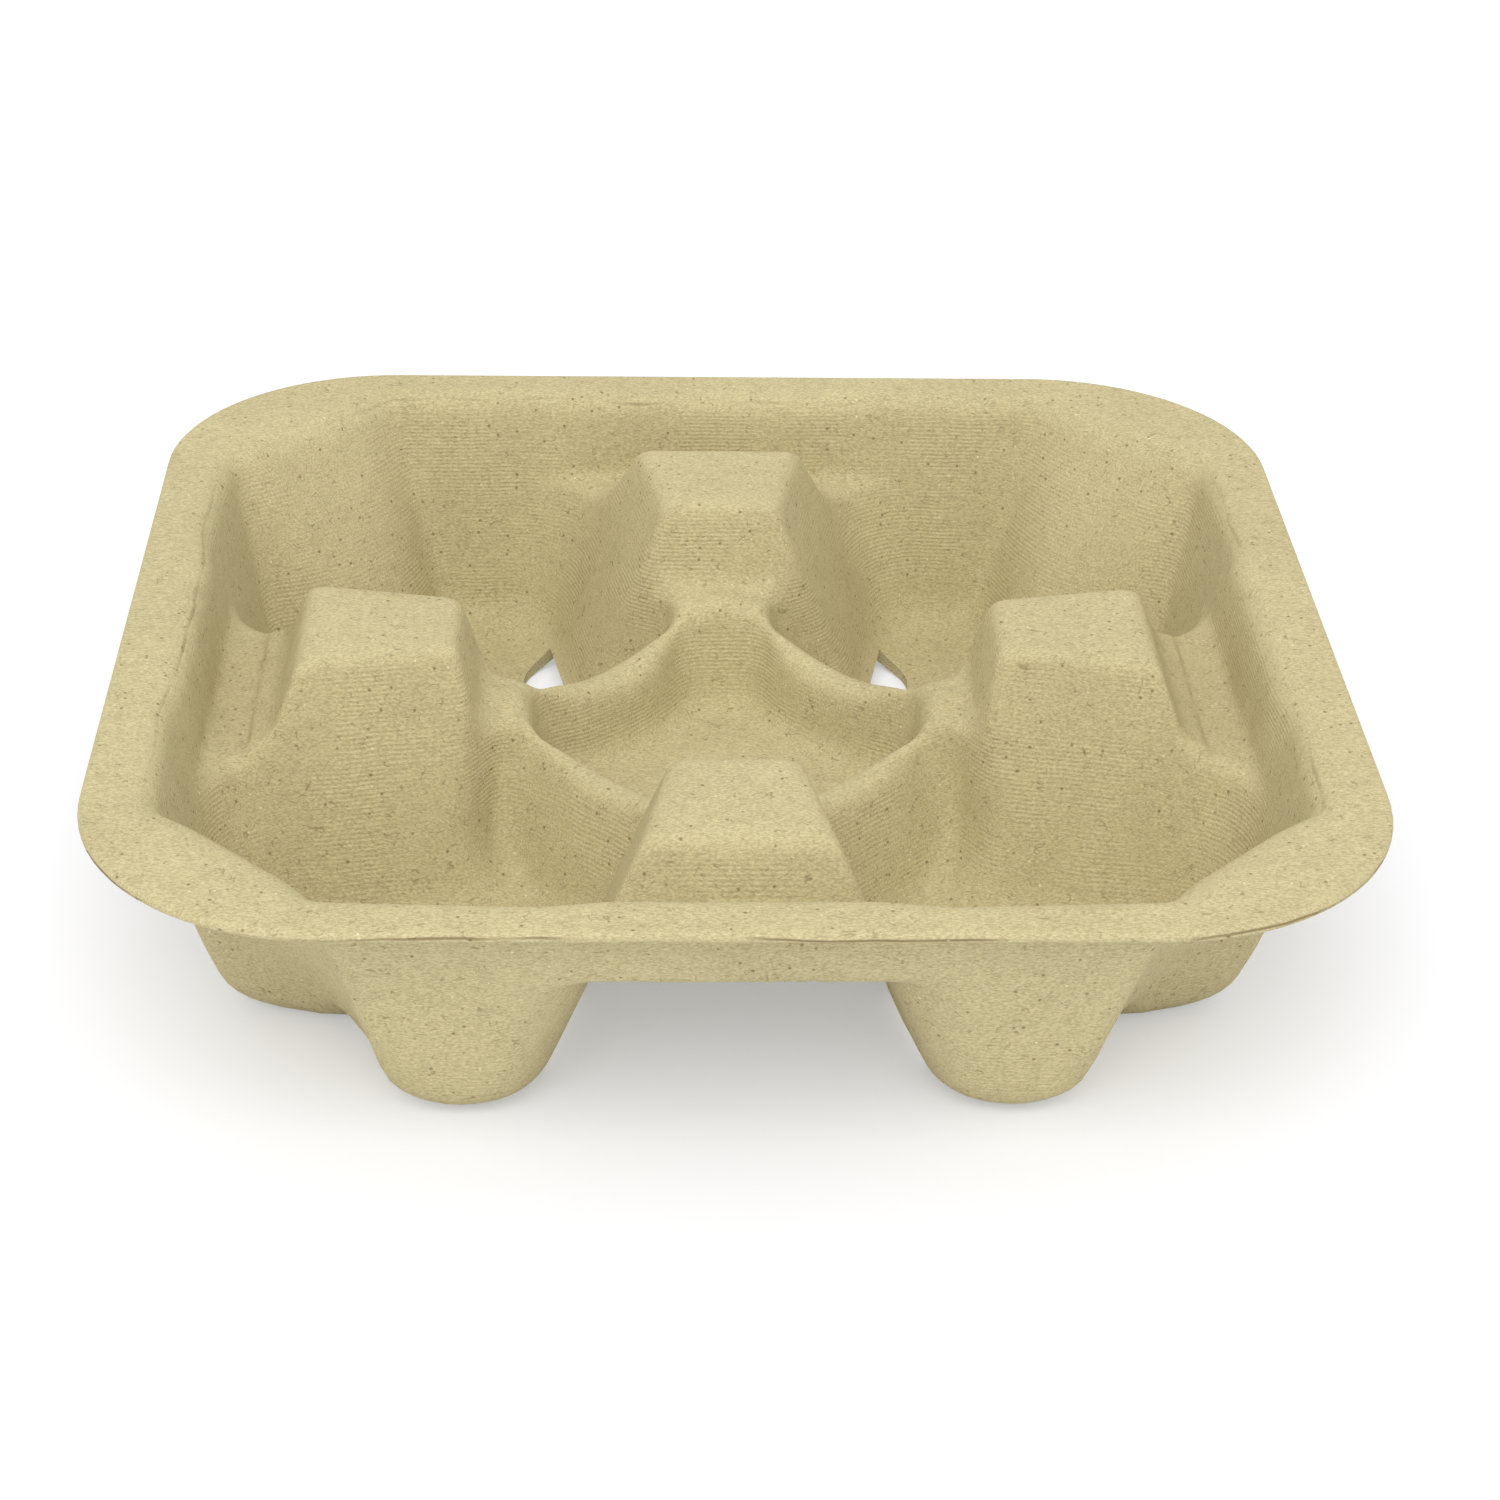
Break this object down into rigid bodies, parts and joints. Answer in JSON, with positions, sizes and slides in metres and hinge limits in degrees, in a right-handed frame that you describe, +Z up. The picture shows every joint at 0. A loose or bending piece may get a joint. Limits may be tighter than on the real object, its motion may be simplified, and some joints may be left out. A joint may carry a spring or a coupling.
{
  "type": "cup carrier",
  "caption": "Square moulded-pulp cup carrier: one sheet formed into flared cup pockets around a hollow middle, with flat-topped posts and a wide rounded rim.",
  "frame": {"origin": "centre of the tray's plan, at the level of the feet's flat bottoms", "axes": "+Z up, +X to the right and +Y away from the viewer; the tray has the same shape after each quarter turn about Z"},
  "size_m": [0.215, 0.215, 0.049],
  "materials": {
    "pulp": "matt, fibrous"
  },
  "bodies": {
    "root": {"cup_tray": "pulp"}
  },
  "joints": []
}
